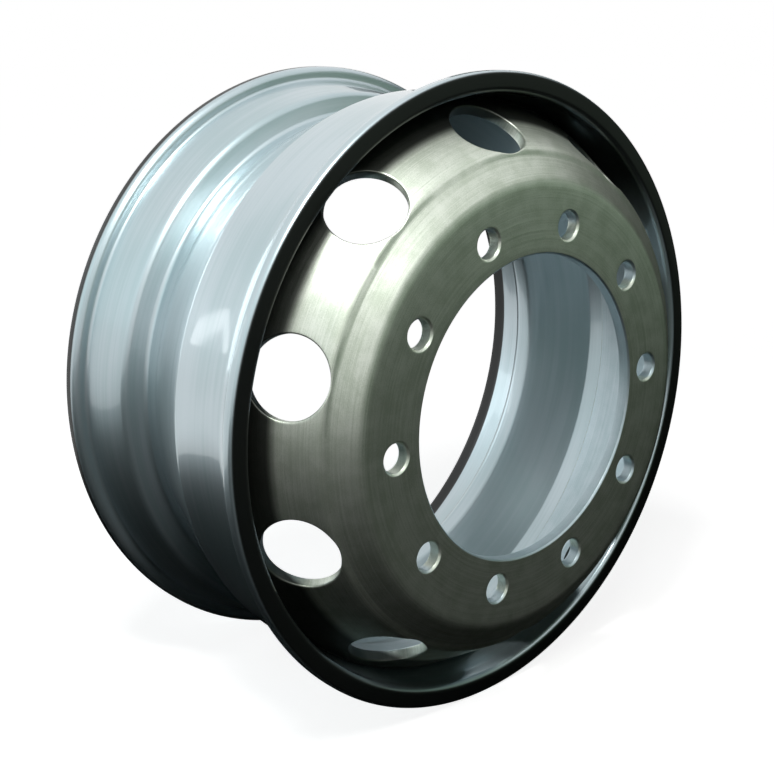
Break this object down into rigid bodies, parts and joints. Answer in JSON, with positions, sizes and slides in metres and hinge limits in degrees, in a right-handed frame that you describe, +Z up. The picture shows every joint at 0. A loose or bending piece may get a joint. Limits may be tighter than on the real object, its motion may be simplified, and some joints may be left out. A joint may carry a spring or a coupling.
{
  "type": "truck wheel",
  "caption": "Ventilated steel disc wheel for a tubeless truck tyre: drop-centre rim, dished disc with round hand holes, chamfered stud holes and a wide centre bore.",
  "frame": {"origin": "on the wheel's axis, in the plane of the face that sits against the hub", "axes": "+Y along the axis towards the vehicle (inboard), -Y outboard, +Z up as in the picture"},
  "size_m": [0.597, 0.31, 0.597],
  "materials": {
    "rim": "gloss silver paint",
    "disc": "satin silver paint over fine pressing grain",
    "disc_weld": "satin silver paint over a rippled weld"
  },
  "bodies": {
    "root": {"rim": "rim", "disc": "disc", "disc_weld": "disc_weld"}
  },
  "joints": []
}
